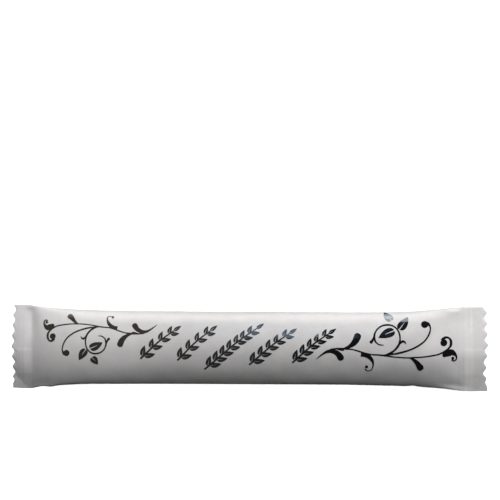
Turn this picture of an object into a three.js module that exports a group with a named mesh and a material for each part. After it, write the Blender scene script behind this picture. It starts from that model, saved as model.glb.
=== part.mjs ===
// A paper stick sachet of sugar: a printed paper tube, closed along its back by a lapped seam,
// filled, and sealed flat across both ends. It lies on the seam with its printed face up.
// +X runs along the stick, +Y across it and +Z up. The origin is under the stick's middle, on the
// surface that it lies on. Sizes are in millimetres and turns in degrees.
import * as THREE from "three";
import { mergeVertices } from "three/addons/utils/BufferGeometryUtils.js";

// The tube.
const LENGTH = 120; // over the points of both cut edges
const WEB_WIDTH = 21.2; // the tube pressed flat, so its girth is twice this
const BODY_WIDTH = 18.4; // across the filled body
const RIM_HEIGHT = 2.5; // height of the body's widest line above the table
const CROWN_RISE = 3.85; // from the widest line up to the crown
const CROWN_POWER = 0.75; // the crown's roundness: 0.5 for an ellipse and 1 for a parabola
const UNDERSIDE_FLAT = 0.62; // share of the body's width that lies on the table

// The left end.
const LEFT = {
  side: -1,
  seal: 4.8, // from the cut edge's points to the filled part
  height: 1.1, // of the seal's sides, where the seal leaves the filled part
  bow: 2.2, // how far the seal's middle stands above its sides
  roll: -2.4, // the seal leans down towards +Y, or up for less than 0
  foldAt: -5.5, // past this line, on the fold's side, the seal leans down further
  foldTurn: 2.8,
  foldSide: -1,
  droop: 2.1, // the seal slopes down to its cut edge
  creaseDepth: 0.39, // of the crease between the seal and the filled part
  creaseAt: 0.1, // out from the filled part
  creaseWidth: 2,
  twist: 5.3, // the body near the end leans down towards +Y
  twistReach: 33,
  opening: 12, // length over which the crown rises
  openingPower: 1,
  crownPower: 0.39, // the crown's roundness where it starts to rise
  widthTaper: 8, // length over which the sides draw in
  taperPower: 1,
};

// The right end.
const RIGHT = {
  side: 1,
  seal: 6,
  height: 3.95,
  bow: 1.6,
  roll: 2.8,
  foldAt: -1.6,
  foldTurn: 10.7,
  foldSide: 1,
  droop: 5.5,
  creaseDepth: 0.15,
  creaseAt: -2.2,
  creaseWidth: 1.3,
  twist: -0.3,
  twistReach: 56,
  opening: 6.7,
  openingPower: 1.6,
  crownPower: 0.64,
  widthTaper: 10,
  taperPower: 1.5,
};

// What the sealing jaws press into both seals.
const SEAL_THICKNESS = 0.3; // two plies with their coating
const SMOOTH_BAND = 1.6; // plain strip between the crimped part and the filled part
const BAND_RISE = 0.1;
const RIB_PITCH = 0.8; // crimped grooves across the seal
const RIB_HEIGHT = 0.12;

// The pinked cut edges.
const TEETH = 8;
const TOOTH_DEPTH = 0.6;
const TOOTH_FADE = 1.2; // the cut's outline has faded out this far inside the edge

// The lapped seam along the back.
const SEAM_THICKNESS = 0.2;
const SEAM_FROM = -6.3;
const SEAM_TO = -0.33;
const SEAM_RAMP = 2.2; // beside the seam, the back comes down to the table over this width

// Fineness of the mesh.
const STEPS_ACROSS = 4 * TEETH;
const BODY_STEPS = [0.4, 1, 1.8, 2.9, 4.3, 6, 8.2, 11, 14.6, 19.2, 25, 32.5, 42];
const ARC_SAMPLES = 160;

const ENDS = [LEFT, RIGHT];
const HALF_LENGTH = LENGTH / 2;
const HALF_WEB = WEB_WIDTH / 2;
const HALF_BODY = BODY_WIDTH / 2;
const LEFT_FILL = -HALF_LENGTH + LEFT.seal;
const RIGHT_FILL = HALF_LENGTH - RIGHT.seal;
const HALF_RIB = RIB_PITCH / 2;
const PAPER = { color: 0xdadada, roughness: 0.35, metalness: 0 };

/** Slope of a surface that is turned by this many degrees. */
function slope(degrees) {
  return Math.tan(THREE.MathUtils.degToRad(degrees));
}

/** Where the cross-sections stand along X: at each rib's ridge and groove, then wider in the body. */
function stationPlaces() {
  const left = [];
  for (let x = -HALF_LENGTH; x < LEFT_FILL - SMOOTH_BAND + HALF_RIB / 2; x += HALF_RIB) left.push(x);
  left.push(LEFT_FILL);
  for (const step of BODY_STEPS) left.push(LEFT_FILL + step);

  const right = [];
  for (let x = HALF_LENGTH; x > RIGHT_FILL + SMOOTH_BAND - HALF_RIB / 2; x -= HALF_RIB) right.push(x);
  right.push(RIGHT_FILL);
  for (const step of BODY_STEPS) right.push(RIGHT_FILL - step);
  return [...left, ...right.reverse()];
}

/** How far x lies out on an end's seal, below 0 in the body. */
function outside(end, x) {
  return end.side * x - HALF_LENGTH + end.seal;
}

/** How far the tube has opened at x from one end: 0 in its seal, 1 in the body. */
function opened(end, x) {
  const inside = Math.max(-outside(end, x), 0);
  return 1 - Math.exp(-((inside / end.opening) ** end.openingPower));
}

/** How full the sachet is at x: 0 in a seal, 1 in the body. */
function fullness(x) {
  return opened(LEFT, x) * opened(RIGHT, x);
}

/** Half the width at x: the paper doesn't stretch, so the sachet is narrower where it is full. */
function halfWidth(x) {
  const shares = ENDS.map((end) => {
    const inside = Math.max(-outside(end, x), 0);
    return Math.exp(-((inside / end.widthTaper) ** end.taperPower));
  });
  return THREE.MathUtils.lerp(HALF_BODY, HALF_WEB, Math.max(...shares));
}

/**
 * Height of the sheet that the front and the back swell from, at the place t across, from -1 to 1.
 * In the seals it is their own height, and in the body the height of the sides.
 */
function sheetHeight(x, t) {
  let height = RIM_HEIGHT;
  for (const end of ENDS) {
    const open = opened(end, x);
    const out = outside(end, x);
    const past = Math.max(end.foldSide * (t - end.foldAt / HALF_WEB), 0);
    const lean = (slope(end.foldTurn) * past + slope(end.roll) * t) * HALF_WEB;
    const droop = slope(end.droop) * Math.max(out, 0);
    const seal = end.height - RIM_HEIGHT - droop + end.bow * (1 - t * t) - lean;
    const reach = THREE.MathUtils.smoothstep(out, -end.twistReach, -0.4 * end.twistReach);
    const twist = slope(end.twist) * HALF_BODY * t * reach;
    const crease = end.creaseDepth * Math.exp(-(((out - end.creaseAt) / end.creaseWidth) ** 2));
    height += (1 - open) * seal - open * twist - crease;
  }
  return height;
}

/** Relief pressed into the seals: a raised smooth band, and ribs from there out to the cut edge. */
function sealRelief(x) {
  const out = Math.max(LEFT_FILL - x, x - RIGHT_FILL);
  if (out < 0) return 0;
  if (out < SMOOTH_BAND) return BAND_RISE;
  const rib = Math.round((HALF_LENGTH - Math.abs(x)) / HALF_RIB);
  return rib % 2 === 0 ? 0 : RIB_HEIGHT;
}

/** Height of the upper face at x, at the place t across, from -1 to 1. */
function frontHeight(x, t) {
  let power = CROWN_POWER;
  for (const end of ENDS) power += (end.crownPower - CROWN_POWER) * (1 - opened(end, x));
  const crown = CROWN_RISE * fullness(x) * (1 - t * t) ** power;
  return sheetHeight(x, t) + sealRelief(x) + crown + SEAL_THICKNESS / 2;
}

/** Height of the underside at x, at the place t across. The seam lifts the back where it runs. */
function backHeight(x, t) {
  const full = fullness(x);
  const side = Math.max((Math.abs(t) - UNDERSIDE_FLAT) / (1 - UNDERSIDE_FLAT), 0);
  const sheet = (sheetHeight(x, t) - SEAL_THICKNESS / 2) * (1 - full * Math.sqrt(1 - side * side));
  const y = t * halfWidth(x);
  const rampIn = THREE.MathUtils.smoothstep(y, SEAM_FROM - SEAM_RAMP, SEAM_FROM);
  const rampOut = 1 - THREE.MathUtils.smoothstep(y, SEAM_TO, SEAM_TO + SEAM_RAMP);
  const lift = SEAM_THICKNESS * full * rampIn * rampOut;
  const seam = y > SEAM_FROM && y < SEAM_TO ? SEAM_THICKNESS : 0;
  return Math.max(sheet + sealRelief(x) + lift - seam, 0);
}

/** Points of one face's cross-section at x, spaced evenly along the paper from the -Y side. */
function crossSection(x, heightAt) {
  const half = halfWidth(x);
  const samples = [];
  let travelled = 0;
  for (let i = 0; i <= ARC_SAMPLES; i += 1) {
    const t = Math.sin(Math.PI * (i / ARC_SAMPLES - 0.5));
    const point = new THREE.Vector2(t * half, heightAt(x, t));
    if (i > 0) travelled += point.distanceTo(samples[i - 1].point);
    samples.push({ point, travelled });
  }

  const points = [];
  let at = 0;
  for (let step = 0; step <= STEPS_ACROSS; step += 1) {
    const wanted = (travelled * step) / STEPS_ACROSS;
    while (at < ARC_SAMPLES - 1 && samples[at + 1].travelled < wanted) at += 1;
    const from = samples[at];
    const to = samples[at + 1];
    const share = THREE.MathUtils.clamp((wanted - from.travelled) / (to.travelled - from.travelled), 0, 1);
    points.push(new THREE.Vector2().lerpVectors(from.point, to.point, share));
  }
  return points;
}

/** How far the pinked cut moves a point at x inwards, for a step across the web. */
function pinkedX(x, step) {
  const inside = HALF_LENGTH - Math.abs(x);
  const fade = Math.max(1 - inside / TOOTH_FADE, 0);
  const notch = 0.5 - 0.5 * Math.cos((2 * Math.PI * step * TEETH) / STEPS_ACROSS);
  return x - Math.sign(x) * TOOTH_DEPTH * notch * fade;
}

/** The sachet: a thin box, one step thick, whose upper and lower faces are moved onto the form. */
function sachetGeometry() {
  const stations = stationPlaces();
  const lastStation = stations.length - 1;
  const sections = stations.map((x) => ({
    front: crossSection(x, frontHeight),
    back: crossSection(x, backHeight),
  }));

  const box = new THREE.BoxGeometry(LENGTH, WEB_WIDTH, 1, lastStation, STEPS_ACROSS, 1);
  const place = box.getAttribute("position");
  for (let i = 0; i < place.count; i += 1) {
    const station = Math.round((place.getX(i) / LENGTH + 0.5) * lastStation);
    const step = Math.round((place.getY(i) / WEB_WIDTH + 0.5) * STEPS_ACROSS);
    const section = place.getZ(i) > 0 ? sections[station].front : sections[station].back;
    place.setXYZ(i, pinkedX(stations[station], step), section[step].x, section[step].y);
  }

  box.deleteAttribute("normal");
  box.deleteAttribute("uv");
  const closed = mergeVertices(box, 1e-4);
  closed.computeVertexNormals();
  return closed;
}

const sachet = new THREE.Mesh(sachetGeometry(), new THREE.MeshStandardMaterial(PAPER));
sachet.name = "sachet";

const model = new THREE.Group();
model.add(sachet);

export default model;
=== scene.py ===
"""Looks of a paper stick sachet of sugar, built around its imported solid.

The sachet is a printed paper tube, lapped and glued along its back, filled with sugar and sealed flat
across both ends. It lies on its back seam with the printed face up: +X runs along the stick, +Y across
it and +Z up. Lengths are in millimetres in the classes and in metres in the meshes.
"""
from __future__ import annotations

import logging
import math
from collections.abc import Callable
from dataclasses import dataclass, field
from enum import Enum

import bmesh
import bpy
import numpy as np
from bmesh.types import BMEdge, BMesh, BMVert
from bpy.types import Material, Node, NodeSocket, NodeTree, Object
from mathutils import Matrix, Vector
from numpy import ndarray


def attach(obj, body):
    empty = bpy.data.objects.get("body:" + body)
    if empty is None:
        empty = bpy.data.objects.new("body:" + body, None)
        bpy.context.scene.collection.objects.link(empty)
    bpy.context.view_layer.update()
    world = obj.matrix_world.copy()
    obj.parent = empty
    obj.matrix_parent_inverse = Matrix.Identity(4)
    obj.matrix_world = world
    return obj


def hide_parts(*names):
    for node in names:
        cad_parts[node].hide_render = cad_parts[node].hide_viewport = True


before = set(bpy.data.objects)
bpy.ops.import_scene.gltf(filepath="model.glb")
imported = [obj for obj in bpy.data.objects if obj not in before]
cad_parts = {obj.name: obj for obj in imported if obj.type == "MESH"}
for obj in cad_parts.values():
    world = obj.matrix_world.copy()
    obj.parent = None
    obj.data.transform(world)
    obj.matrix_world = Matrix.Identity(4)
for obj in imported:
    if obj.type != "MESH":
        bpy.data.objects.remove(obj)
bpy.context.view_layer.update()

MM = 0.001
BODY = "root"
NODE = "sachet"
LOG = logging.getLogger("sachet")


# Small helpers


def linear(hex_code: str) -> tuple[float, float, float, float]:
    """Turn an sRGB hex colour into linear RGBA.

    Args:
        hex_code: the colour as six hex digits.

    Returns:
        The colour that Blender's sockets take.
    """
    parts = [int(hex_code[i : i + 2], 16) / 255 for i in (0, 2, 4)]
    turned = [p / 12.92 if p <= 0.04045 else ((p + 0.055) / 1.055) ** 2.4 for p in parts]
    return (*turned, 1.0)


def add_node(
    tree: NodeTree,
    kind: str,
    links: dict[str | int, NodeSocket] | None = None,
    values: dict[str | int, object] | None = None,
    **settings: str,
) -> Node:
    """Add a shader node with its links, its socket values and its settings.

    Args:
        tree: the node tree.
        kind: the node's Blender type name, without the ShaderNode that all of them start with.
        links: output sockets by the name or the number of the input that they feed.
        values: default values by the name or the number of the input.
        settings: attributes of the node.

    Returns:
        The new node.
    """
    node = tree.nodes.new("ShaderNode" + kind)
    for name, value in settings.items():
        setattr(node, name, value)
    for name, value in (values or {}).items():
        node.inputs[name].default_value = value
    for name, socket in (links or {}).items():
        tree.links.new(socket, node.inputs[name])
    return node


def start_material(name: str) -> tuple[Material, NodeTree, NodeSocket]:
    """Start a material that has no nodes but the one for the place on its piece.

    Args:
        name: the material's name.

    Returns:
        The material, its tree, and the place in the piece's own space.
    """
    made = bpy.data.materials.new(name)
    made.use_nodes = True
    tree = made.node_tree
    tree.nodes.clear()
    return made, tree, add_node(tree, "TexCoord").outputs["Object"]


def show(made: Object) -> Object:
    """Put an object into the scene."""
    bpy.context.scene.collection.objects.link(made)
    return made


def add_object(name: str, bm: BMesh, finish: Material) -> Object:
    """Turn a bmesh into an object of one finish.

    Args:
        name: the object's name.
        bm: the shape, which is freed.
        finish: the material.

    Returns:
        The new object.
    """
    mesh = bpy.data.meshes.new(name)
    bm.to_mesh(mesh)
    bm.free()
    mesh.materials.append(finish)
    return show(bpy.data.objects.new(name, mesh))


def add_film(bm: BMesh, steps_along: int, steps_across: int) -> tuple[list[BMVert], list[BMVert]]:
    """Add a closed film, as yet without thickness, from a grid that fills the unit square.

    Args:
        bm: the shape to add it to.
        steps_along: grid steps along X.
        steps_across: grid steps along Y.

    Returns:
        The vertices of the lower and of the upper face.
    """
    lower = bmesh.ops.create_grid(bm, x_segments=steps_along, y_segments=steps_across, size=0.5)["verts"]
    own = set(lower)
    under = [f for f in bm.faces if f.verts[0] in own]
    raised = bmesh.ops.extrude_face_region(bm, geom=under)["geom"]
    bmesh.ops.reverse_faces(bm, faces=under)
    return lower, [g for g in raised if isinstance(g, BMVert)]


def flat_places(verts: list[BMVert]) -> ndarray:
    """Give the x and y of vertices, one row for each."""
    return np.array([v.co[:2] for v in verts])


def lay(verts: list[BMVert], points: ndarray) -> None:
    """Move vertices to their points."""
    for vert, point in zip(verts, points):
        vert.co = point


def paces(line: ndarray) -> ndarray:
    """Give the lengths of the steps of a line of points."""
    return np.linalg.norm(np.diff(line, axis=0), axis=1)


def heading(angle: float) -> ndarray:
    """Give the unit vector at an angle from +X, in radians."""
    return np.array([math.cos(angle), math.sin(angle)])


def slope(degrees: float) -> float:
    """Give the rise over the run of a turn in degrees."""
    return math.tan(math.radians(degrees))


def ramp(x: ndarray, softness: float) -> ndarray:
    """Rise from 0 with a slope of 1 past 0, rounded over the softness."""
    return 0.5 * (x + np.sqrt(x * x + softness * softness))


def smooth(edge0: float, edge1: float, x: ndarray) -> ndarray:
    """Rise smoothly from 0 at edge0 to 1 at edge1."""
    t = np.clip((x - edge0) / (edge1 - edge0), 0.0, 1.0)
    return t * t * (3.0 - 2.0 * t)


def bump(x: ndarray, centre: float, width: float | ndarray) -> ndarray:
    """Give a bell of height 1 at the centre, which fades over the width."""
    return np.exp(-(((x - centre) / width) ** 2))


class Face(Enum):
    """The sachet's two panels."""

    FRONT = 1
    BACK = -1


# The form


@dataclass(frozen=True)
class SealEnd:
    """One end of the stick: its flat seal, and how the body opens from it.

    Turns and leans are in degrees, and lengths in millimetres.
    """

    side: int  # -1 for the left end and 1 for the right one
    seal: float  # from the cut edge's points to the filled part
    rim: float  # height of the seal's sides, where it leaves the filled part
    bow: float  # how far the seal's middle stands above its sides
    roll: float  # the seal leans down towards +Y
    fold_at: float  # past this line across the web the seal leans down further
    fold_turn: float
    fold_side: int  # the side past the line: 1 for +Y and -1 for -Y
    droop: float  # the seal slopes down to its cut edge
    twist: float  # the body near the end leans down towards +Y
    twist_reach: float
    width_taper: float  # length over which the sides draw in
    taper_power: float
    rise: float  # length over which the crown rises
    rise_power: float
    lens: float  # the crown's roundness where it starts to rise
    tooth_pitch: float  # of the pinked cut
    tooth_phase: float
    tooth_depth: float
    recess_top: float  # how far the cut runs back at the +Y corner
    recess_bottom: float  # at the -Y corner
    recess_waist: float  # and halfway to the -Y corner
    corner_fold: float  # how far in from the -Y corner its flap is bent up
    corner_lift: float
    crease: float  # depth of the crease beside the filled part
    crease_at: float  # how far out from the filled part it runs
    crease_width: float  # over which it fades towards the cut edge
    crease_reach: float  # over which it fades into the body
    edge_curl: float  # how much the +Y side of the seal curls up


@dataclass(frozen=True)
class Dent:
    """A soft dent or ridge in the front panel, as a stretched bell.

    Its middle is (x, across) on the flat paper, and its long axis turns by `turn` degrees from +X.
    """

    x: float
    across: float
    length: float
    width: float
    turn: float
    height: float


@dataclass(frozen=True)
class EdgeMove:
    """A shallow wave in the -Y edge's outline: outwards for a depth above 0, inwards below 0."""

    x: float
    width: float
    depth: float


@dataclass
class SachetForm:
    """The paper's shape: places on the flat paper tube turned into points in space."""

    length: float = 120.0  # over the points of both cut edges
    web: float = 21.2  # the tube pressed flat
    body_width: float = 18.4
    rim_height: float = 2.5  # of the body's widest line above the table
    crown_rise: float = 3.85  # from the widest line up to the crown
    crown_power: float = 0.75  # 0.5 for an ellipse and 1 for a parabola
    underside_flat: float = 0.62  # share of the body's width that lies on the table
    ply: float = 0.11  # the paper's thickness
    fold_softness: float = 0.1
    twist_full: float = 0.4  # share of the twist's reach over which it is full
    curl_from: float = 0.6  # share of the half-width from which a seal's edge curls
    band: float = 1.9  # width of the smooth strip in each seal
    band_rise: float = 0.07
    band_start: tuple[float, float] = (-0.5, 0.2)
    band_edge: float = 0.25
    rib_pitch: float = 0.62
    rib_height: float = 0.012
    rib_start: float = 0.5
    flap_softness: float = 0.1225
    flap_reach: float = 2.0  # how far a bent corner may run into the body
    cut_curl: float = 0.07  # the cut edge bends down by this much
    cut_curl_width: float = 0.3
    tooth_fade: float = 1.4  # the cut's outline has faded out this far inside the edge
    last_notch: tuple[float, float] = (0.72, 0.9)  # shares of the half-web over which it fades
    recess_fade: float = 3.5
    recess_power: float = 1.3
    seam_from: float = -6.3  # the back seam's outer flap, across the web
    seam_to: float = -0.3
    seam_step: float = 0.06  # height of its step, seen through the seals
    seam_edge: float = 0.25
    seam_feather: float = 1.5
    seam_ply: float = 0.12
    seam_start: float = -0.6
    left: SealEnd = SealEnd(
        side=-1, seal=4.8, rim=1.1, bow=2.21, roll=-2.4, fold_at=-5.5, fold_turn=2.8,
        fold_side=-1, droop=2.1, twist=5.3, twist_reach=33.0, width_taper=8.0, taper_power=1.0,
        rise=12.0, rise_power=1.01, lens=0.39, tooth_pitch=2.584, tooth_phase=0.31, tooth_depth=0.68,
        recess_top=0.42, recess_bottom=0.3, recess_waist=0.12, corner_fold=4.4, corner_lift=13.0,
        crease=0.39, crease_at=0.1, crease_width=2.0, crease_reach=2.0, edge_curl=1.2,
    )
    right: SealEnd = SealEnd(
        side=1, seal=6.0, rim=3.95, bow=1.58, roll=2.8, fold_at=-1.6, fold_turn=10.7,
        fold_side=1, droop=5.5, twist=-0.3, twist_reach=56.0, width_taper=10.0, taper_power=1.5,
        rise=6.7, rise_power=1.59, lens=0.64, tooth_pitch=2.776, tooth_phase=0.87, tooth_depth=0.8,
        recess_top=0.1, recess_bottom=0.1, recess_waist=0.42, corner_fold=3.2, corner_lift=6.0,
        crease=0.26, crease_at=-2.0, crease_width=1.2, crease_reach=5.0, edge_curl=2.6,
    )
    dents: tuple[Dent, ...] = (
        Dent(-55.2, 7.1, 3.7, 1.3, -85.0, -0.51),
        Dent(-52.7, -10.4, 4.2, 2.0, 20.0, -0.17),
        Dent(51.7, 10.0, 1.5, 1.8, 20.0, 0.3),
        Dent(51.8, -10.3, 3.8, 2.3, -26.0, -0.34),
        Dent(46.0, 3.5, 4.5, 2.5, 48.0, -0.41),
        Dent(-56.7, -3.6, 2.1, 4.5, 9.0, 0.32),
    )
    edge_moves: tuple[EdgeMove, ...] = (
        EdgeMove(-59.3, 1.2, -0.15),
        EdgeMove(-54.6, 1.4, 0.1),
        EdgeMove(-52.9, 1.6, -0.18),
        EdgeMove(-50.0, 1.1, 0.2),
        EdgeMove(-41.0, 5.0, -0.08),
        EdgeMove(34.0, 7.0, 0.11),
        EdgeMove(41.2, 1.2, -0.2),
        EdgeMove(49.3, 3.6, -0.14),
    )
    slack: float = 0.13  # the -Y side lies this much further in than the +Y one
    dent_fade: tuple[float, float] = (0.86, 1.0)  # shares of the half-web over which dents fade
    seed: int = 7
    lump_count: int = 14
    lump_reach: tuple[float, float] = (7.0, 22.0)
    lump_squash: float = 0.6  # the lumps are this much shorter across the web
    lump_height: float = 0.025
    lump_spread: float = 2.6  # usual size of the lumps' waves added up
    back_lumps: float = 0.4  # share of the lumps that the back shows
    table_step: float = 0.5
    table_columns: int = 129
    section_samples: int = 361
    flat_samples: int = 401
    probe: float = 0.02  # half a step along X for a slope
    probe_turn: float = 0.002  # half a step of the section angle for a slope
    table_phi: ndarray = field(init=False, repr=False)
    lumps: ndarray = field(init=False, repr=False)

    def __post_init__(self) -> None:
        """Draw the sugar's lumps, and measure the sections, so that the paper is laid on unstretched."""
        draw = np.random.default_rng(self.seed)
        count = self.lump_count
        reach = draw.uniform(*self.lump_reach, count)
        turn = draw.uniform(0.0, math.pi, count)
        aside = np.sin(turn) / (self.lump_squash * reach)
        self.lumps = np.stack([np.cos(turn) / reach, aside, draw.uniform(0.0, 1.0, count)])
        self.table_phi = np.stack([self._even_angles(Face.FRONT), self._even_angles(Face.BACK)])

    @property
    def half(self) -> float:
        """Half the length over the cut edges' points."""
        return self.length / 2

    @property
    def half_web(self) -> float:
        """Half the width of the tube pressed flat."""
        return self.web / 2

    @property
    def ends(self) -> tuple[SealEnd, SealEnd]:
        """Both ends."""
        return self.left, self.right

    def inside(self, end: SealEnd, x: ndarray) -> ndarray:
        """Give how far x lies from an end's seal towards the body, at least 0."""
        return np.maximum(self.half - end.seal - end.side * x, 0.0)

    def outside(self, end: SealEnd, x: ndarray) -> ndarray:
        """Give how far x lies out on an end's seal, below 0 in the body."""
        return end.side * x - (self.half - end.seal)

    def opened(self, end: SealEnd, x: ndarray) -> ndarray:
        """Give how far the tube has opened at x from one end: 0 in its seal and 1 in the body."""
        return 1.0 - np.exp(-((self.inside(end, x) / end.rise) ** end.rise_power))

    def fullness(self, x: ndarray) -> ndarray:
        """Give how full the sachet is at x: 0 in a seal and 1 in the body."""
        return self.opened(self.left, x) * self.opened(self.right, x)

    def half_width(self, x: ndarray, t: ndarray) -> ndarray:
        """Give half the width at x, which is less where the tube is full.

        Args:
            x: places along the stick.
            t: places across, from -1 to 1, of which only the sign counts.

        Returns:
            The half-widths on that side of the middle.
        """
        share = np.zeros_like(x)
        for end in self.ends:
            drawn_in = (self.inside(end, x) / end.width_taper) ** end.taper_power
            share = np.maximum(share, np.exp(-drawn_in))
        plain = self.body_width / 2 + (self.web - self.body_width) / 2 * share
        moved = sum(move.depth * bump(x, move.x, move.width) for move in self.edge_moves) - self.slack
        return plain + np.where(t < 0, moved, 0.0)

    def rim(self, x: ndarray, t: ndarray) -> ndarray:
        """Give the height of the sheet that the front and the back swell from.

        In the seals it is their own height: drooping outwards, bowed and rolled across, and turned
        down past a soft fold. In the body it is the height of the sides, twisted towards each end.

        Args:
            x: places along the stick.
            t: places across, from -1 to 1.

        Returns:
            The heights.
        """
        height = np.full_like(x, self.rim_height)
        for end in self.ends:
            flat = 1.0 - self.opened(end, x)
            out = self.outside(end, x)
            droop = slope(end.droop) * np.maximum(out, 0.0)
            past = end.fold_side * (t - end.fold_at / self.half_web)
            lean = slope(end.fold_turn) * ramp(past, self.fold_softness) + slope(end.roll) * t
            curl = end.edge_curl * np.maximum(t - self.curl_from, 0.0) ** 2
            sheet = end.rim - self.rim_height - droop + end.bow * (1.0 - t * t) + curl
            twist = slope(end.twist) * self.body_width / 2 * t
            twist = twist * smooth(-end.twist_reach, -self.twist_full * end.twist_reach, out)
            fade = np.where(out < end.crease_at, end.crease_reach, end.crease_width)
            height = height + flat * (sheet - lean * self.half_web) - (1.0 - flat) * twist
            height = height - end.crease * bump(out, end.crease_at, fade)
        return height

    def pressed(self, x: ndarray, across: ndarray) -> ndarray:
        """Give the relief pressed through both plies of the seals.

        The jaws leave a smooth raised band next to the filled part and fine ribs out to the cut edge.
        The back seam's extra ply shows through as a step, and the -Y corner of each seal is bent up.

        Args:
            x: places along the stick.
            across: places across the flat paper.

        Returns:
            The heights to add.
        """
        relief = np.zeros_like(x)
        for end in self.ends:
            out = self.outside(end, x)
            plateau = 1.0 - smooth(self.band - self.band_edge, self.band + self.band_edge, out)
            relief = relief + self.band_rise * plateau * smooth(*self.band_start, out)
            wave = 0.5 - 0.5 * np.cos(2 * math.pi * (out - self.band) / self.rib_pitch)
            ribs = smooth(self.band, self.band + self.rib_start, out)
            relief = relief + self.rib_height * ribs * wave
            step = 1.0 - smooth(self.seam_to - self.seam_edge, self.seam_to + self.seam_edge, across)
            step = step * smooth(self.seam_from - self.seam_feather, self.seam_from, across)
            relief = relief + self.seam_step * step * smooth(self.seam_start, 0.0, out)
            past = (end.side * x - self.half) - (across + self.half_web) + end.corner_fold
            flap = ramp(past, self.flap_softness) / math.sqrt(2.0) * (out > -self.flap_reach)
            relief = relief + slope(end.corner_lift) * flap
            curl = np.exp(-np.maximum(end.seal - out, 0.0) / self.cut_curl_width)
            relief = relief - self.cut_curl * curl * (out > 0.0)
        return relief

    def height(self, x: ndarray, t: ndarray, face: Face) -> ndarray:
        """Give the height of a panel without its dents.

        Args:
            x: places along the stick.
            t: places across, from -1 to 1.
            face: the panel.

        Returns:
            The heights.
        """
        full = self.fullness(x)
        rim = self.rim(x, t)
        if face is Face.FRONT:
            power = np.full_like(x, self.crown_power)
            for end in self.ends:
                power = power + (end.lens - self.crown_power) * (1.0 - self.opened(end, x))
            return rim + self.ply + self.crown_rise * full * np.maximum(1.0 - t * t, 0.0) ** power
        side = np.clip((np.abs(t) - self.underside_flat) / (1.0 - self.underside_flat), 0.0, 1.0)
        y = t * self.body_width / 2
        over_seam = smooth(self.seam_from - self.seam_feather, self.seam_from, y)
        over_seam = over_seam * (1.0 - smooth(self.seam_to, self.seam_to + self.seam_feather, y))
        sheet = (rim - self.ply) * (1.0 - full * np.sqrt(1.0 - side * side))
        return sheet + self.seam_ply * full * over_seam

    def _even_angles(self, face: Face) -> ndarray:
        """Measure a panel's sections along their paper.

        Args:
            face: the panel.

        Returns:
            The section angle at each even step along the paper, one row for each section.
        """
        steps = int(round(self.length / self.table_step)) + 1
        xs = np.linspace(-self.half, self.half, steps)[:, None]
        phi = np.linspace(-math.pi / 2, math.pi / 2, self.section_samples)[None, :]
        t = np.sin(phi)
        y = self.half_width(xs + 0 * t, t) * t
        z = self.height(xs + 0 * t, t + 0 * xs, face)
        pace = np.hypot(np.diff(y, axis=1), np.diff(z, axis=1))
        gone = np.concatenate([np.zeros((steps, 1)), np.cumsum(pace, axis=1)], axis=1)
        even = np.linspace(0.0, 1.0, self.table_columns)
        return np.stack([np.interp(even * g[-1], g, phi[0]) for g in gone])

    def angle(self, x: ndarray, across: ndarray, face: Face) -> ndarray:
        """Read the section angle of places on the flat paper between the measured sections.

        Args:
            x: places along the stick.
            across: places across the flat paper.
            face: the panel.

        Returns:
            The angles, from -pi/2 at the -Y side to pi/2.
        """
        table = self.table_phi[0 if face is Face.FRONT else 1]
        rows, columns = table.shape
        # Both stop just short of the last step, so that there is always a next one to read.
        u = np.clip((x + self.half) / self.table_step, 0.0, rows - 1.001)
        v = np.clip((across / self.web + 0.5) * (columns - 1), 0.0, columns - 1.001)
        i, j = u.astype(int), v.astype(int)
        fu, fv = u - i, v - j
        low = table[i, j] * (1 - fv) + table[i, j + 1] * fv
        high = table[i + 1, j] * (1 - fv) + table[i + 1, j + 1] * fv
        return low * (1 - fu) + high * fu

    def _shell(self, x: ndarray, phi: ndarray, face: Face) -> ndarray:
        """Give points of the plain panel from the section angle."""
        t = np.sin(phi)
        return np.stack([x, self.half_width(x, t) * t, self.height(x, t, face)], axis=-1)

    def _dented(self, x: ndarray, across: ndarray, face: Face) -> ndarray:
        """Give how far dents and lumps move a panel along its normal.

        In the seals the back moves with the front, and in the body it keeps its own shape.

        Args:
            x: places along the stick.
            across: places across the flat paper.
            face: the panel.

        Returns:
            The moves outwards.
        """
        full = self.fullness(x)
        within = 1.0 - smooth(*self.dent_fade, np.abs(across) / self.half_web)
        wave = x[..., None] * self.lumps[0] + across[..., None] * self.lumps[1] + self.lumps[2]
        height = self.lump_height * full * np.sin(2 * math.pi * wave).sum(axis=-1) / self.lump_spread
        share = 1.0
        if face is Face.BACK:
            height = self.back_lumps * height
            share = -(1.0 - full)
        for dent in self.dents:
            turn = math.radians(dent.turn)
            along = (x - dent.x) * math.cos(turn) + (across - dent.across) * math.sin(turn)
            aside = (across - dent.across) * math.cos(turn) - (x - dent.x) * math.sin(turn)
            bell = np.exp(-((along / dent.length) ** 2) - (aside / dent.width) ** 2)
            height = height + share * dent.height * bell
        return height * within

    def cut(self, x: ndarray, across: ndarray) -> ndarray:
        """Move places near the ends inwards to the pinked cut.

        The last notch before each -Y corner is cut shallow, as the web lay slack there.

        Args:
            x: places along the stick.
            across: places across the flat paper.

        Returns:
            The new places along the stick.
        """
        moved = x.copy()
        for end in self.ends:
            inside = self.half - end.side * x
            fade = np.clip(1.0 - inside / self.tooth_fade, 0.0, 1.0)
            share = np.abs(across) / self.half_web
            notch = 0.5 - 0.5 * np.cos(2 * math.pi * (across - end.tooth_phase) / end.tooth_pitch)
            notch = notch * np.where(across < 0, 1.0 - smooth(*self.last_notch, share), 1.0)
            recess = np.where(across > 0, end.recess_top, end.recess_bottom) * share**self.recess_power
            recess = recess + np.where(across < 0, end.recess_waist * np.sin(math.pi * share), 0.0)
            recess = recess * np.clip(1.0 - inside / self.recess_fade, 0.0, 1.0)
            moved = moved - end.side * (fade * end.tooth_depth * notch + recess)
        return moved

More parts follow.
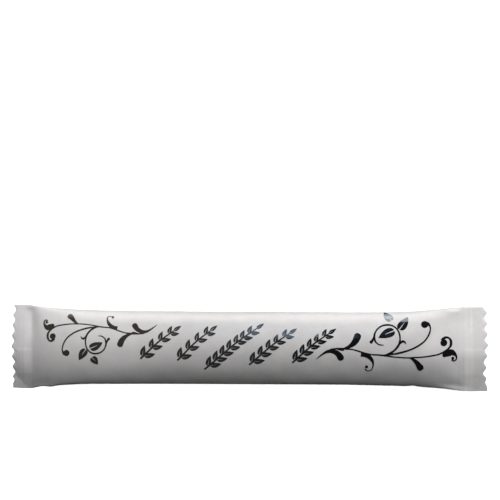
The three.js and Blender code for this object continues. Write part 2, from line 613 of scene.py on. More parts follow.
    def place(
        self, x: ndarray, across: ndarray, face: Face = Face.FRONT, lift: ndarray | float = 0.0
    ) -> ndarray:
        """Turn places on the flat paper into points in space.

        Args:
            x: places along the stick.
            across: places across the flat paper, 0 in the middle of the panel.
            face: the panel.
            lift: height above the paper, along its normal.

        Returns:
            The points, in metres, one row for each.
        """
        phi = self.angle(x, across, face)
        step_x, step_phi = self.probe, self.probe_turn
        here = self._shell(x, phi, face)
        near = np.clip(phi, 2 * step_phi - math.pi / 2, math.pi / 2 - 2 * step_phi)
        along = self._shell(x + step_x, near, face) - self._shell(x - step_x, near, face)
        beside = self._shell(x, near + step_phi, face) - self._shell(x, near - step_phi, face)
        normal = np.cross(along, beside) * face.value
        normal = normal / np.maximum(np.linalg.norm(normal, axis=-1, keepdims=True), 1e-12)
        move = self._dented(x, across, face) + lift
        point = here + normal * np.asarray(move)[..., None]
        point[..., 2] = point[..., 2] + self.pressed(x, across)
        point[..., 0] = self.cut(x, across)
        return point * MM

    def flat_across(self, x: float, y: float) -> float:
        """Find a point of the front panel, seen from above, on the flat paper.

        Args:
            x: the place along the stick.
            y: how far the point stands towards +Y.

        Returns:
            The place across the flat paper.
        """
        across = np.linspace(-self.half_web, self.half_web, self.flat_samples)
        spots = self.place(np.full_like(across, x), across)
        return float(np.interp(y * MM, spots[:, 1], across))


# Finishes


@dataclass(frozen=True)
class CoatedPaper:
    """Coated white sachet paper: a smooth semi-gloss lacquer over a clay coat on thin wood-pulp paper."""

    name: str = "coated_paper"
    white: str = "eae8e7"
    shade: str = "dedbda"
    fibre_share: float = 0.6
    shade_share: float = 0.45  # of the mottling that takes the shade
    half_mm: float = 60.0  # the painted light levels run this far to both sides of the middle
    painted_light_levels: tuple[tuple[float, float], ...] = (
        (-57.6, 0.943), (-57.0, 0.975), (-55.6, 0.981), (-54.8, 0.952), (-30.0, 0.952), (-18.0, 0.905),
        (8.0, 0.91), (20.0, 0.95), (53.4, 0.95), (54.0, 0.995), (56.0, 0.995), (56.4, 0.93),
    )
    roughness: float = 0.5
    coat_roughness: float = 0.16
    fibre_mm: float = 0.35  # real fibres are about 0.03 mm thick, and are drawn coarser so that they show
    cloud_mm: float = 4.0  # flocks of fibres, as seen in thin paper
    grain_mm: float = 0.75  # a sugar crystal, felt through the paper

    def material(self) -> Material:
        """Make the paper's material.

        Returns:
            The material.
        """
        made, tree, place = start_material(self.name)
        cloud, fibre = (
            add_node(
                tree, "TexNoise", {"Vector": place},
                {"Scale": 1 / (size * MM), "Detail": detail, "Roughness": rough},
            )
            for size, detail, rough in ((self.cloud_mm, 3.0, 0.6), (self.fibre_mm, 4.0, 0.65))
        )
        grain = add_node(
            tree, "TexVoronoi", {"Vector": place},
            {"Scale": 1 / (self.grain_mm * MM), "Smoothness": 1.0}, feature="SMOOTH_F1",
        )
        mixed = add_node(
            tree, "Math", {0: fibre.outputs["Fac"], 2: cloud.outputs["Fac"]}, {1: self.fibre_share},
            operation="MULTIPLY_ADD",
        )
        tone = add_node(tree, "ValToRGB", {"Fac": mixed.outputs[0]})
        darkest, palest = tone.color_ramp.elements
        darkest.position = self.shade_share
        darkest.color = linear(self.shade)
        palest.color = linear(self.white)
        # The levels paint light and shade into the paper's colour along the stick: lighter on the seals'
        # smooth bands, as a painted sheen, and darker over the middle of the body, as painted shade. They
        # are set so that the stick looks as light along its length as in the photo. The cause is a guess:
        # hot jaws on the seals, and sugar tight behind thin paper in the body.
        apart = add_node(tree, "SeparateXYZ", {"Vector": place})
        along = add_node(
            tree, "MapRange", {"Value": apart.outputs["X"]},
            {"From Min": -self.half_mm * MM, "From Max": self.half_mm * MM},
        )
        level = add_node(tree, "ValToRGB", {"Fac": along.outputs["Result"]})
        stops = level.color_ramp.elements
        stops.remove(stops[1])
        for x_mm, grey in self.painted_light_levels:
            stop = stops.new(0.5 + 0.5 * x_mm / self.half_mm)
            stop.color = (grey, grey, grey, 1.0)
        stops.remove(stops[0])
        # The paper's colour takes the painted light and shade along the stick here.
        paper = add_node(
            tree, "Mix", {6: tone.outputs["Color"], 7: level.outputs["Color"]}, {0: 1.0},
            data_type="RGBA", blend_type="MULTIPLY",
        )
        fine = add_node(
            tree, "Bump", {"Height": fibre.outputs["Fac"]}, {"Strength": 0.25, "Distance": 0.02 * MM}
        )
        sugar = add_node(
            tree, "Bump", {"Height": grain.outputs["Distance"], "Normal": fine.outputs["Normal"]},
            {"Strength": 0.3, "Distance": 0.03 * MM},
        )
        surface = add_node(
            tree, "BsdfPrincipled",
            {"Base Color": paper.outputs[2], "Normal": sugar.outputs["Normal"]},
            {
                "Roughness": self.roughness, "IOR": 1.5, "Coat Weight": 1.0,
                "Coat Roughness": self.coat_roughness, "Coat IOR": 1.5, "Specular IOR Level": 0.2,
            },
        )
        tree.links.new(sugar.outputs["Normal"], surface.inputs["Coat Normal"])
        add_node(tree, "OutputMaterial", {"Surface": surface.outputs["BSDF"]})
        return made


@dataclass(frozen=True)
class StampedFoil:
    """Dark hot-stamped foil: a thin metal layer that mirrors a lamp and looks black elsewhere."""

    name: str = "stamped_foil"
    metal: str = "6c7076"
    painted_reflection_metal: str = "504a45"
    plain_foil_mm: float = 20.0  # along the stick, where the foil has no painted reflection yet
    painted_reflection_mm: float = -24.0
    metallic: tuple[float, float] = (0.96, 0.45)  # without and with the painted reflection
    roughness: tuple[float, float] = (0.055, 0.11)
    grain_mm: float = 0.25  # the paper's tooth under the foil, drawn coarser so that it shows
    grain_roughness: float = 0.06

    def material(self) -> Material:
        """Make the foil's material.

        Returns:
            The material.
        """
        made, tree, place = start_material(self.name)
        apart = add_node(tree, "SeparateXYZ", {"Vector": place})
        # The photo shows the foil duller and browner towards the left end. Here that is painted reflection:
        # the browner colour and the weaker metal stand in for the brighter surroundings that the foil
        # mirrors there. That it is worn is a guess.
        painted_reflection_share = add_node(
            tree, "MapRange", {"Value": apart.outputs["X"]},
            {"From Min": self.plain_foil_mm * MM, "From Max": self.painted_reflection_mm * MM},
        ).outputs["Result"]
        # Towards the left end the foil's colour and metal carry the painted reflection.
        colour = add_node(
            tree, "Mix", {0: painted_reflection_share}, {6: linear(self.metal), 7: linear(self.painted_reflection_metal)},
            data_type="RGBA",
        )
        solid, dulled = (
            add_node(tree, "MapRange", {"Value": painted_reflection_share}, {"To Min": plain_value, "To Max": painted_value})
            for plain_value, painted_value in (self.metallic, self.roughness)
        )
        grain = add_node(
            tree, "TexNoise", {"Vector": place}, {"Scale": 1 / (self.grain_mm * MM), "Detail": 2.0}
        )
        rough = add_node(
            tree, "Math", {0: grain.outputs["Fac"], 2: dulled.outputs["Result"]},
            {1: self.grain_roughness}, operation="MULTIPLY_ADD",
        )
        relief = add_node(
            tree, "Bump", {"Height": grain.outputs["Fac"]}, {"Strength": 0.15, "Distance": 0.01 * MM}
        )
        surface = add_node(
            tree, "BsdfPrincipled",
            {
                "Base Color": colour.outputs[2], "Metallic": solid.outputs["Result"],
                "Roughness": rough.outputs[0], "Normal": relief.outputs["Normal"],
            },
            {"Specular IOR Level": 0.2},
        )
        add_node(tree, "OutputMaterial", {"Surface": surface.outputs["BSDF"]})
        return made


@dataclass(frozen=True)
class StudioFloor:
    """Matt white photographic paper."""

    name: str = "studio_floor"
    white: str = "e8e8e8"

    def material(self) -> Material:
        """Make the floor's material.

        Returns:
            The material.
        """
        made = bpy.data.materials.new(self.name)
        made.use_nodes = True
        surface = made.node_tree.nodes["Principled BSDF"]
        surface.inputs["Base Color"].default_value = linear(self.white)
        surface.inputs["Roughness"].default_value = 0.9
        surface.inputs["Specular IOR Level"].default_value = 0.1
        return made


# Pieces


def new_piece(name: str, bm: BMesh, finish: Material, sharp_angle: float) -> Object:
    """Turn a bmesh into a finished piece that rides on the sachet's body.

    Args:
        name: the piece's name.
        bm: the shape, which is freed.
        finish: the material.
        sharp_angle: edges that turn more than this many degrees stay sharp.

    Returns:
        The new object.
    """
    for piece_face in bm.faces:
        piece_face.smooth = True
    made = add_object(name, bm, finish)
    made.data.set_sharp_from_angle(angle=math.radians(sharp_angle))
    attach(made, BODY)
    LOG.info("%s: %d faces", name, len(made.data.polygons))
    return made


@dataclass
class PaperSkin:
    """The sachet's paper: a front and a back panel, joined round the sides and the cut edges."""

    form: SachetForm
    finish: Material
    seal_step: float = 0.13
    body_step: float = 0.42
    fine_reach: float = 2.0  # the small steps run this far into the body
    steps_across: int = 96

    def stations(self) -> ndarray:
        """Give the sections' places, close together in and near the seals.

        Returns:
            The places along the stick.
        """
        fine_left = self.form.left.seal + self.fine_reach
        fine_right = self.form.right.seal + self.fine_reach
        half = self.form.half
        left = np.arange(-half, -half + fine_left, self.seal_step)
        middle = np.arange(-half + fine_left, half - fine_right, self.body_step)
        right = np.linspace(half - fine_right, half, int(fine_right / self.seal_step) + 1)
        return np.concatenate([left, middle, right])

    def panel(self, bm: BMesh, face: Face) -> list[BMEdge]:
        """Add one panel as a grid laid onto the form.

        Args:
            bm: the shape to add it to.
            face: the panel.

        Returns:
            The panel's outer edges.
        """
        along = self.stations()
        made = bmesh.ops.create_grid(bm, x_segments=len(along) - 1, y_segments=self.steps_across, size=0.5)
        grid = made["verts"]
        flat = flat_places(grid)
        x = along[np.rint((flat[:, 0] + 0.5) * (len(along) - 1)).astype(int)]
        lay(grid, self.form.place(x, flat[:, 1] * self.form.web, face))
        inside = set(grid)
        if face is Face.BACK:
            own = [f for f in bm.faces if f.verts[0] in inside]
            bmesh.ops.reverse_faces(bm, faces=own)
        return [e for e in bm.edges if e.is_boundary and e.verts[0] in inside]

    def build(self) -> Object:
        """Make the skin, close its rim and dress it.

        Returns:
            The piece.
        """
        bm = bmesh.new()
        rims = self.panel(bm, Face.FRONT) + self.panel(bm, Face.BACK)
        bmesh.ops.bridge_loops(bm, edges=rims)
        bmesh.ops.recalc_face_normals(bm, faces=bm.faces)
        made = new_piece("paper_tube", bm, self.finish, sharp_angle=50.0)
        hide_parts(NODE)
        return made


@dataclass
class BackSeam:
    """The lapped seam along the back: the web's outer edge, glued over its inner one."""

    form: SachetForm
    finish: Material
    step: float = 0.4
    steps_across: int = 28
    feather: float = 1.2  # over which the lap runs out into the panel
    root: float = 0.012  # the lap's lower face lies this far inside the panel

    def build(self) -> Object:
        """Make the lap: a thin strip on the back panel, which runs out into it towards -Y.

        Returns:
            The piece.
        """
        form = self.form
        bm = bmesh.new()
        start = form.seam_from - self.feather
        faces = add_film(bm, int(form.length / self.step), self.steps_across)
        for verts, ply in zip(faces, (0.0, form.ply)):
            grid = flat_places(verts)
            across = start + (grid[:, 1] + 0.5) * (form.seam_to - start)
            lift = ply * smooth(start, form.seam_from, across) - self.root
            lay(verts, form.place(grid[:, 0] * form.length, across, Face.BACK, lift))
        bmesh.ops.recalc_face_normals(bm, faces=bm.faces)
        return new_piece("back_seam", bm, self.finish, sharp_angle=30.0)


@dataclass(frozen=True)
class Stroke:
    """One stroke of the print: a smooth line through a few points, whose width swells and tapers.

    Each point is x, y and the stroke's width there, in millimetres.
    """

    points: tuple[tuple[float, float, float], ...]
    round_end: bool = False
    least_width: float = 0.03
    curve_steps: int = 24  # between two points

    def line(self, steps: int) -> ndarray:
        """Give the centre line as a Catmull-Rom curve with even steps.

        Args:
            steps: how many steps the line has.

        Returns:
            The line's x, y and half width, one row for each point.
        """
        given = np.array(self.points, float)
        padded = np.vstack([2 * given[0] - given[1], given, 2 * given[-1] - given[-2]])
        share = np.linspace(0.0, 1.0, self.curve_steps, endpoint=False)[:, None]
        fine = [
            0.5 * (2 * b + (c - a) * share + (2 * a - 5 * b + 4 * c - d) * share**2
                   + (3 * b - a - 3 * c + d) * share**3)
            for a, b, c, d in zip(padded, padded[1:], padded[2:], padded[3:])
        ]
        path = np.vstack([*fine, given[-1:]])
        path[:, 2] = np.maximum(path[:, 2], self.least_width) / 2
        gone = np.concatenate([[0.0], np.cumsum(paces(path[:, :2]))])
        cap = path[-1, 2]
        if self.round_end:
            out = path[-1] - path[-2]
            out = out / np.linalg.norm(out[:2]) * cap
            path = np.vstack([path, path[-1] + out * (1.0, 1.0, 0.0)])
            gone = np.append(gone, gone[-1] + cap)
        even = np.linspace(0.0, gone[-1], steps + 1)
        line = np.stack([np.interp(even, gone, path[:, k]) for k in range(3)], axis=1)
        if self.round_end:
            past = np.clip((even - gone[-1] + cap) / cap, 0.0, 1.0)
            line[:, 2] = np.where(past > 0, cap * np.sqrt(1.0 - past**2), line[:, 2])
        return line


@dataclass(frozen=True)
class Dot:
    """A round blob of the print, such as the ball that ends a curl. Sizes are in millimetres."""

    x: float
    y: float
    radius: float


@dataclass(frozen=True)
class Leaf:
    """One printed leaf: two lobes beside a bare vein, from its base to its tip.

    Points and sizes are in millimetres.
    """

    base: tuple[float, float]
    tip: tuple[float, float]
    width: float
    vein: float
    bend: float
    vein_reach: float = 0.6  # share of the leaf
    base_power: float = 0.45  # how fast the rim opens from the base
    tip_power: float = 0.95
    base_share: float = 0.004  # the rim's curve starts this far along, so that the base is blunt
    rim_scale: float = 2.41  # makes the curve's greatest height 1

    def lobe(self, u: ndarray, v: ndarray, side: int) -> ndarray:
        """Give points of one lobe.

        Args:
            u: places from the base, 0, to the tip, 1.
            v: places from the vein, 0, to the rim, 1.
            side: 1 for the lobe on the left of the vein, -1 for the right one.

        Returns:
            The points, one row for each.
        """
        base, tip = np.array(self.base), np.array(self.tip)
        axis = tip - base
        left = np.array([-axis[1], axis[0]]) / np.linalg.norm(axis)
        curve = (u + self.base_share) ** self.base_power * (1.0 - u) ** self.tip_power
        rim = self.width / 2 * self.rim_scale * curve
        inner = np.minimum(self.vein / 2 * np.sqrt(np.clip(1.0 - u / self.vein_reach, 0.0, 1.0)), rim)
        away = (inner + (rim - inner) * v) * side
        middle = base + u[:, None] * axis + (self.bend * np.sin(math.pi * u))[:, None] * left
        return middle + away[:, None] * left


Mark = Stroke | Leaf | Dot


@dataclass
class PrintPlate:
    """Stamps strokes and leaves onto the paper as thin closed films."""

    form: SachetForm
    film: float = 0.025
    film_gap: float = 0.0015  # each film is this much higher than the last, so that none coincide
    root: float = 0.03  # a film's lower face lies this far inside the paper
    step: float = 0.11
    least_steps: int = 12
    spread: float = 0.07  # how much wider than drawn the foil comes out
    thin: float = 0.35  # half width under which a stroke has only thin_steps across
    thin_steps: int = 2
    thick_steps: int = 8
    leaf_steps: int = 4
    dot_steps: int = 10
    parts: int = 0

    def stamp_grid(
        self, bm: BMesh, steps_along: int, steps_across: int, flatten: Callable[[ndarray, ndarray], ndarray]
    ) -> None:
        """Add one film: a flat grid, given thickness and laid onto the paper.

        Args:
            bm: the shape to add it to.
            steps_along: grid steps along the mark.
            steps_across: grid steps across the mark.
            flatten: turns grid places (u from 0 to 1, v from -1 to 1) into points on the flat paper.
        """
        film = self.film + self.film_gap * self.parts
        self.parts += 1
        for verts, lift in zip(add_film(bm, steps_along, steps_across), (-self.root, film)):
            grid = flat_places(verts)
            spots = flatten(grid[:, 0] + 0.5, grid[:, 1] * 2.0)
            lay(verts, self.form.place(spots[:, 0], spots[:, 1], lift=lift))

    def stamp_stroke(self, bm: BMesh, stroke: Stroke) -> None:
        """Add a stroke.

        Args:
            bm: the shape to add it to.
            stroke: the stroke, on the flat paper.
        """
        length = paces(np.array(stroke.points)[:, :2]).sum()
        steps = max(int(length / self.step), self.least_steps)
        line = stroke.line(steps) + (0.0, 0.0, self.spread / 2)
        ahead = np.gradient(line[:, :2], axis=0)
        left = np.stack([-ahead[:, 1], ahead[:, 0]], axis=1)
        left = left / np.linalg.norm(left, axis=1, keepdims=True)

        def flatten(u: ndarray, v: ndarray) -> ndarray:
            """Lay grid places along the stroke."""
            at = np.rint(u * steps).astype(int)
            return line[at, :2] + left[at] * (line[at, 2] * v)[:, None]

        thin = line[:, 2].max() < self.thin
        self.stamp_grid(bm, steps, self.thin_steps if thin else self.thick_steps, flatten)

    def stamp_dot(self, bm: BMesh, dot: Dot) -> None:
        """Add a round blob: a square grid drawn out to a disc.

        Args:
            bm: the shape to add it to.
            dot: the blob, on the flat paper.
        """

        def flatten(u: ndarray, v: ndarray) -> ndarray:
            """Lay grid places on the disc.

            Args:
                u: places along the square, from 0 to 1.
                v: places across it, from -1 to 1.

            Returns:
                The points on the flat paper.
            """
            w = 2.0 * u - 1.0
            disc = [w * np.sqrt(1.0 - v * v / 2.0), v * np.sqrt(1.0 - w * w / 2.0)]
            return np.array([dot.x, dot.y]) + dot.radius * np.stack(disc, axis=1)

        self.stamp_grid(bm, self.dot_steps, self.dot_steps, flatten)

    def stamp_leaf(self, bm: BMesh, leaf: Leaf) -> None:
        """Add both lobes of a leaf.

        Args:
            bm: the shape to add them to.
            leaf: the leaf, on the flat paper.
        """
        steps = max(int(math.dist(leaf.base, leaf.tip) / self.step), self.least_steps)
        for side in (1, -1):

            def flatten(u: ndarray, v: ndarray, side: int = side) -> ndarray:
                """Lay grid places on the lobe."""
                return leaf.lobe(u, (v * side + 1.0) / 2.0, side)

            self.stamp_grid(bm, steps, self.leaf_steps, flatten)

    def press(self, name: str, marks: list[Mark], finish: Material) -> Object:
        """Make one piece out of strokes, leaves and dots.

        Args:
            name: the piece's name.
            marks: what to stamp, on the flat paper.
            finish: the material.

        Returns:
            The piece.
        """
        bm = bmesh.new()
        self.parts = 0
        for mark in marks:
            if isinstance(mark, Stroke):
                self.stamp_stroke(bm, mark)
            elif isinstance(mark, Leaf):
                self.stamp_leaf(bm, mark)
            else:
                self.stamp_dot(bm, mark)
        bmesh.ops.remove_doubles(bm, verts=bm.verts, dist=1e-7)
        bmesh.ops.recalc_face_normals(bm, faces=bm.faces)
        return new_piece(name, bm, finish, sharp_angle=40.0)


# The printed scroll, as seen from above, round its ring's middle and with its tail to the left. The
# points follow the photo's right scroll, and were turned from pixels into millimetres.
SCROLL_MARKS: tuple[Mark, ...] = (
    # The running stem, into the end curl and its ball.
    Stroke((
        (-14.25, -3.0, 0.4), (-13.0, -2.75, 0.35), (-11.7, -2.75, 0.45), (-10.45, -2.75, 0.45),
        (-8.7, -2.9, 0.28), (-7.2, -3.3, 0.33), (-5.7, -3.75, 0.3), (-3.95, -4.15, 0.3),
        (-2.2, -4.25, 0.35), (-0.2, -4.45, 0.38), (1.85, -4.75, 0.28), (4.1, -4.9, 0.28),
        (6.35, -4.9, 0.3), (8.85, -4.75, 0.3), (11.35, -4.4, 0.33), (13.15, -4.0, 0.35),
        (14.65, -3.25, 0.4), (15.5, -2.6, 0.4), (16.05, -1.9, 0.53), (16.2, -1.15, 0.6),
        (16.05, -0.45, 0.55), (15.6, 0.05, 0.48), (14.95, 0.2, 0.5), (14.35, -0.1, 0.75),
        (14.05, -0.6, 1.1),
    )),
    Dot(14.35, -1.15, 0.88),
    # The tail, which swells into a comma under the stem.
    Stroke((
        (-17.75, -5.45, 0.05), (-17.0, -4.8, 0.25), (-16.0, -4.05, 0.43), (-15.0, -3.5, 0.7),
        (-14.0, -3.35, 0.95), (-13.05, -3.55, 1.15), (-12.25, -4.05, 1.36), (-11.75, -4.65, 1.53),
        (-11.55, -5.0, 1.58),
    ), True),
    Stroke(((-12.45, -2.85, 0.15), (-11.7, -3.0, 0.33), (-10.9, -3.05, 0.38)), True),
    # The comma over the stem.
    Stroke((
        (-11.1, -2.75, 0.15), (-10.2, -2.5, 0.55), (-9.3, -2.1, 0.88), (-8.45, -1.45, 1.31),
        (-7.8, -0.65, 1.58), (-7.45, 0.15, 1.71), (-7.35, 0.4, 1.71),
    ), True),
    # The blunt leaf that curls under the stem.
    Stroke((
        (-6.5, -4.1, 1.18), (-5.7, -4.2, 1.1), (-4.95, -4.45, 1.08), (-4.25, -4.9, 1.0),
        (-3.75, -5.5, 0.8), (-3.45, -6.2, 0.5), (-3.4, -6.9, 0.3), (-3.55, -7.55, 0.2),
        (-3.95, -8.1, 0.18), (-4.55, -8.3, 0.18), (-5.1, -8.15, 0.23), (-5.3, -7.7, 0.3),
    )),
    Dot(-5.05, -7.25, 0.4),
    # The ring, its two thorns and the leaf inside it.
    Stroke((
        (-0.2, -4.2, 0.3), (0.7, -3.9, 0.55), (1.7, -3.25, 0.45), (2.45, -2.5, 0.48),
        (3.0, -1.65, 0.5), (3.25, -0.8, 0.4), (3.3, 0.1, 0.33), (3.15, 1.05, 0.35),
        (2.75, 1.95, 0.33), (2.05, 2.7, 0.35), (1.15, 3.15, 0.38), (0.05, 3.25, 0.45),
        (-1.05, 3.05, 0.4), (-1.95, 2.55, 0.35), (-2.65, 1.8, 0.35), (-3.05, 0.95, 0.4),
        (-3.15, 0.1, 0.48), (-2.9, -0.8, 0.38), (-2.4, -1.4, 0.28), (-1.6, -1.75, 0.25),
        (-0.75, -1.75, 0.1),
    )),
    Stroke((
        (2.95, -1.85, 0.23), (3.4, -1.2, 0.45), (3.9, -0.85, 0.55), (4.35, -0.9, 0.45),
        (4.65, -1.2, 0.25), (4.85, -1.5, 0.05),
    )),
    Stroke(((-3.15, 0.55, 0.25), (-3.35, -0.1, 0.43), (-3.65, -0.65, 0.55), (-3.95, -1.05, 0.75)), True),
    Leaf((1.9, 1.85), (-2.1, 0.05), 2.43, 0.3, -0.1),
    # The branch and the ball at its end.
    Stroke((
        (-0.7, -4.25, 0.23), (0.85, -4.1, 0.35), (2.35, -3.9, 0.4), (3.85, -3.55, 0.43),
        (5.35, -3.1, 0.38), (6.85, -2.5, 0.38), (8.1, -1.8, 0.38), (9.2, -1.0, 0.35),
        (10.05, -0.05, 0.35), (10.65, 1.0, 0.35), (10.95, 2.0, 0.3), (10.95, 2.75, 0.33),
        (10.6, 3.4, 0.6), (10.1, 3.7, 1.0),
    )),
    Dot(9.55, 3.4, 0.92),
    # The two leaves over the ring.
    Leaf((3.1, 2.1), (5.4, 5.3), 2.33, 0.25, -0.1),
    Leaf((1.3, 4.3), (-0.65, 6.3), 2.1, 0.25, 0.1),
    # The blunt leaf at the stem's end, curled at its tip.
    Stroke((
        (14.3, -4.15, 1.0), (14.9, -3.85, 1.56), (15.65, -3.65, 1.61), (16.4, -3.55, 1.41),
        (17.0, -3.9, 0.95), (17.45, -4.4, 0.5), (17.55, -5.0, 0.33), (17.3, -5.45, 0.28),
        (16.75, -5.65, 0.28), (16.35, -5.3, 0.38),
    )),
    Dot(16.6, -5.0, 0.38),
    Dot(14.5, -4.2, 0.55),
    # The drop below the stem.
    Stroke((
        (5.35, -4.9, 0.13), (6.1, -5.05, 0.38), (6.85, -5.5, 0.75), (7.55, -6.15, 1.15),
        (8.1, -6.9, 1.43), (8.45, -7.4, 1.61),
    ), True),
)


@dataclass
class Scroll:
    """The printed scroll: a running stem with a ring, curls, drops and leaves.

    On the sachet it may be turned half round, drawn smaller and crowded towards its far end, and
    what lies over the rounded +Y side is squeezed, as it is seen there foreshortened.
    """

    name: str
    form: SachetForm
    centre: tuple[float, float]
    flip: int = 1
    scale_x: float = 1.0
    scale_y: float = 1.0
    crowd: float = 0.0
    lean: float = 0.0
    squeeze: float = 0.0
    squeeze_from: float = 7.0

    def move(self, x: float, y: float) -> tuple[float, float]:
        """Put a drawn point in place.

        Args:
            x: the drawn point's place along the scroll.
            y: its place across the scroll.

        Returns:
            The point on the flat paper.
        """
        moved_x = self.centre[0] + self.flip * (x * self.scale_x - self.crowd * x * x)
        moved_y = self.centre[1] + self.flip * (y * self.scale_y - self.lean * x)
        moved_y -= self.squeeze * max(moved_y - self.squeeze_from, 0.0) ** 2
        return moved_x, self.form.flat_across(moved_x, moved_y)

    def marks(self) -> list[Mark]:
        """Put the scroll's marks in place.

        Returns:
            The marks on the flat paper.
        """
        size = math.sqrt(self.scale_x * self.scale_y)
        placed = []
        for mark in SCROLL_MARKS:
            if isinstance(mark, Stroke):
                points = tuple((*self.move(x, y), width * size) for x, y, width in mark.points)
                placed.append(Stroke(points, mark.round_end))
            elif isinstance(mark, Leaf):
                ends = (self.move(*mark.base), self.move(*mark.tip))
                placed.append(Leaf(*ends, mark.width * size, mark.vein * size, mark.bend * size))
            else:
                placed.append(Dot(*self.move(mark.x, mark.y), mark.radius * size))
        return placed


@dataclass
class Sprig:
    """A slanted sprig of small leaves on a thin stem, one of five in a row."""

    name: str
    foot: tuple[float, float]
    head: tuple[float, float]
    leaf_length: float = 2.9
    leaf_width: float = 1.4
    spacing: float = 2.1
    leaf_shrink: float = 0.28  # towards the head
    leaf_spread: float = 48.0  # degrees from the stem
    leaf_bend: float = 0.12
    leaf_turn: float = 0.25  # back towards the stem, in radians
    stalk: float = 0.2
    vein: float = 0.12
    first_pair: float = 0.08  # share of the stem
    pairs_over: float = 0.78
    bare_stem: float = 1.5
    head_length: float = 2.2
    head_width: float = 0.95
    head_vein: float = 0.1
    stem_bow: float = 0.35
    stem_widths: tuple[float, float, float] = (0.42, 0.36, 0.24)
    stem_stop: float = 0.12  # the stem stops this share short of the head
    stem_steps: int = 60

    def stem(self) -> Stroke:
        """Draw the stem.

        Returns:
            The stem's stroke.
        """
        foot, head = np.array(self.foot), np.array(self.head)
        way = head - foot
        side = np.array([-way[1], way[0]]) / np.linalg.norm(way)
        spots = (foot, (foot + head) / 2 + side * self.stem_bow, head - way * self.stem_stop)
        return Stroke(tuple((*spot, width) for spot, width in zip(spots, self.stem_widths)))

    def marks(self) -> list[Mark]:
        """Draw the stem and its leaves: pairs, smaller towards the head, and one at the head.

        Returns:
            The marks on the flat paper.
        """
        last = self.stem_steps
        stem = self.stem().line(last)[:, :2]
        pairs = max(int((paces(stem).sum() - self.bare_stem) / self.spacing), 2)
        made: list[Mark] = [self.stem()]
        for k in range(pairs):
            share = self.first_pair + self.pairs_over * k / (pairs - 1)
            at = int(share * last)
            ahead = math.atan2(*(stem[min(at + 1, last)] - stem[max(at - 1, 0)])[::-1])
            size = 1.0 - self.leaf_shrink * share
            for sign in (1, -1):
                turn = ahead + sign * math.radians(self.leaf_spread)
                start = stem[min(at + (2 if sign < 0 else 0), last)]
                base = start + self.stalk * heading(turn)
                tip = base + size * self.leaf_length * heading(turn - sign * self.leaf_turn)
                width = size * self.leaf_width
                made.append(Leaf(tuple(base), tuple(tip), width, self.vein, self.leaf_bend * sign))
        ahead = math.atan2(*(stem[-1] - stem[-4])[::-1])
        tip = stem[-1] + self.head_length * heading(ahead)
        made.append(Leaf(tuple(stem[-1]), tuple(tip), self.head_width, self.head_vein, 0.0))
        return made


# The studio


@dataclass(frozen=True)
class Panel:
    """A soft rectangular lamp, aimed at the sachet.

    Its tilt is from straight overhead, and its azimuth from +Y towards +X, in degrees. Sizes are in
    metres, and its glow is the radiance of its face. A lamp that isn't mirrored lights the sachet
    without showing in its gloss, as one behind a polarising filter does.
    """

    name: str
    tilt: float
    azimuth: float
    width: float
    height: float
    glow: float
    mirrored: bool = True
    tint: str = "ffffff"
    distance: float = 0.9

    def build(self) -> Object:
        """Make the lamp.

        Returns:
            The lamp.
        """
        lamp = bpy.data.lights.new(self.name, "AREA")
        lamp.shape = "RECTANGLE"
        lamp.size, lamp.size_y = self.width, self.height
        lamp.energy = self.glow * math.pi * self.width * self.height
        lamp.color = linear(self.tint)[:3]
        made = bpy.data.objects.new(self.name, lamp)
        tilt, azimuth = math.radians(self.tilt), math.radians(self.azimuth)
        towards = Vector(
            (math.sin(tilt) * math.sin(azimuth), math.sin(tilt) * math.cos(azimuth), math.cos(tilt))
        )
        made.location = towards * self.distance
        made.rotation_euler = towards.to_track_quat("Z", "Y").to_euler()
        made.visible_camera = False
        made.visible_glossy = self.mirrored
        return show(made)


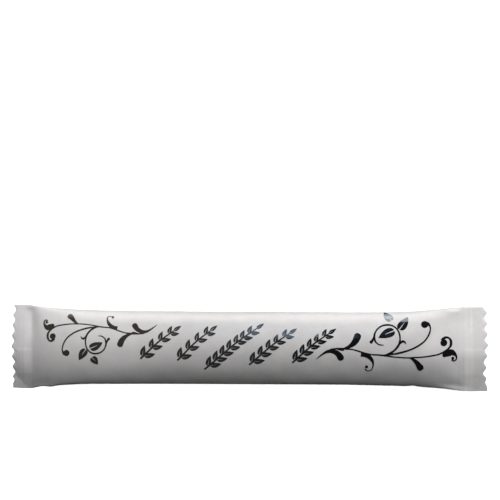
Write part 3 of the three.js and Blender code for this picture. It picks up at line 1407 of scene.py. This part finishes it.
@dataclass
class Studio:
    """The pale floor, the lamps and the camera."""

    lamps: tuple[Panel, ...] = (
        Panel("key_softbox_low", 59.0, 0.0, 0.82, 0.19, 2.1),
        Panel("key_softbox", 71.0, 0.0, 0.9, 0.19, 3.5),
        Panel("low_softbox", 82.5, 0.0, 0.96, 0.17, 2.1),
        Panel("key_wing", 65.0, 45.0, 0.43, 0.38, 4.5),
        Panel("high_softbox", 47.0, 0.0, 0.7, 0.19, 3.5, False),
        Panel("top_softbox", 33.0, 0.0, 0.9, 0.22, 3.0, False),
        Panel("overhead_softbox", 17.0, 0.0, 0.9, 0.25, 1.0, False),
        Panel("skylight", 34.0, 1.2, 0.055, 0.45, 2.1, True, "a9c4e0"),
        Panel("fill_softbox", 77.0, 180.0, 2.2, 0.38, 0.07),
    )
    sky: float = 0.01  # its strength as a light
    seen_sky: str = "f4f4f4"
    lens: float = 200.0
    sensor: float = 36.0
    frame_mm: float = 126.5  # what the picture shows across, on the table
    look_at: tuple[float, float] = (-0.03, 24.75)  # the picture's middle, in millimetres
    roll: float = 0.29  # degrees
    floor_size: float = 4.0  # metres
    floor_glow: float = 5.5
    floor_lamp_spread: float = 40.0  # degrees

    def build(self) -> None:
        """Make the floor, the lamps, the sky and the camera."""
        lamps = [lamp.build() for lamp in self.lamps]
        floor = self.floor()
        self.floor_lamp(floor)
        self.backdrop()
        self.camera()
        LOG.info("studio: %d lamps", len(lamps) + 1)

    def floor(self) -> Object:
        """Make the floor, which doesn't throw light back up at the sachet.

        Returns:
            The floor.
        """
        bm = bmesh.new()
        bmesh.ops.create_grid(bm, x_segments=1, y_segments=1, size=self.floor_size / 2)
        made = add_object("floor", bm, StudioFloor().material())
        made.visible_diffuse = False
        made.visible_glossy = False
        return made

    def floor_lamp(self, floor: Object) -> None:
        """Light the floor alone, from above, so that it stays pale.

        Args:
            floor: the floor.
        """
        sun = bpy.data.lights.new("floor_lamp", "SUN")
        sun.energy = self.floor_glow
        sun.angle = math.radians(self.floor_lamp_spread)
        made = show(bpy.data.objects.new("floor_lamp", sun))
        made.location = (0.0, 0.0, 1.0)
        lit = bpy.data.collections.new("floor_only")
        lit.objects.link(floor)
        made.light_linking.receiver_collection = lit

    def backdrop(self) -> None:
        """Give the sky: dim for the lamps' sake, and pale where the camera sees it."""
        world = bpy.data.worlds.new("studio")
        bpy.context.scene.world = world
        world.use_nodes = True
        tree = world.node_tree
        tree.nodes.clear()
        dim, pale = (
            add_node(tree, "Background", None, {"Color": linear(tint), "Strength": glow})
            for tint, glow in (("ffffff", self.sky), (self.seen_sky, 1.0))
        )
        seen = add_node(tree, "LightPath").outputs["Is Camera Ray"]
        mixed = add_node(tree, "MixShader", {0: seen, 1: dim.outputs[0], 2: pale.outputs[0]})
        add_node(tree, "OutputWorld", {"Surface": mixed.outputs["Shader"]})

    def camera(self) -> None:
        """Look straight down, from far enough to show the sachet flat."""
        data = bpy.data.cameras.new("camera")
        data.lens = self.lens
        data.sensor_width = self.sensor
        made = show(bpy.data.objects.new("camera", data))
        distance = self.lens * self.frame_mm * MM / self.sensor
        made.location = (self.look_at[0] * MM, self.look_at[1] * MM, distance)
        made.rotation_euler = (0.0, 0.0, math.radians(self.roll))
        bpy.context.scene.camera = made
        bpy.context.scene.view_settings.view_transform = "Standard"


def main() -> None:
    """Build the sachet, its print and the studio."""
    logging.basicConfig(level=logging.INFO, format="%(name)s: %(message)s")
    form = SachetForm()
    paper = CoatedPaper().material()
    PaperSkin(form, paper).build()
    BackSeam(form, paper).build()

    foil = StampedFoil().material()
    plate = PrintPlate(form)
    motifs = (
        Scroll("foil_scroll_right", form, (34.4, 2.85)),
        Scroll(
            "foil_scroll_left", form, (-38.6, 1.45), flip=-1, scale_x=0.806, scale_y=0.889,
            crowd=0.0032, lean=0.024, squeeze=0.3,
        ),
        Sprig("foil_sprig_1", (-27.4, -2.85), (-17.8, 5.6)),
        Sprig("foil_sprig_2", (-18.1, -3.2), (-8.7, 5.7)),
        Sprig("foil_sprig_3", (-11.3, -5.6), (3.6, 6.8)),
        Sprig("foil_sprig_4", (-0.1, -4.3), (11.5, 5.2)),
        Sprig("foil_sprig_5", (10.7, -3.7), (21.2, 5.1)),
    )
    for motif in motifs:
        plate.press(motif.name, motif.marks(), foil)

    Studio().build()


if __name__ == "__main__":
    main()
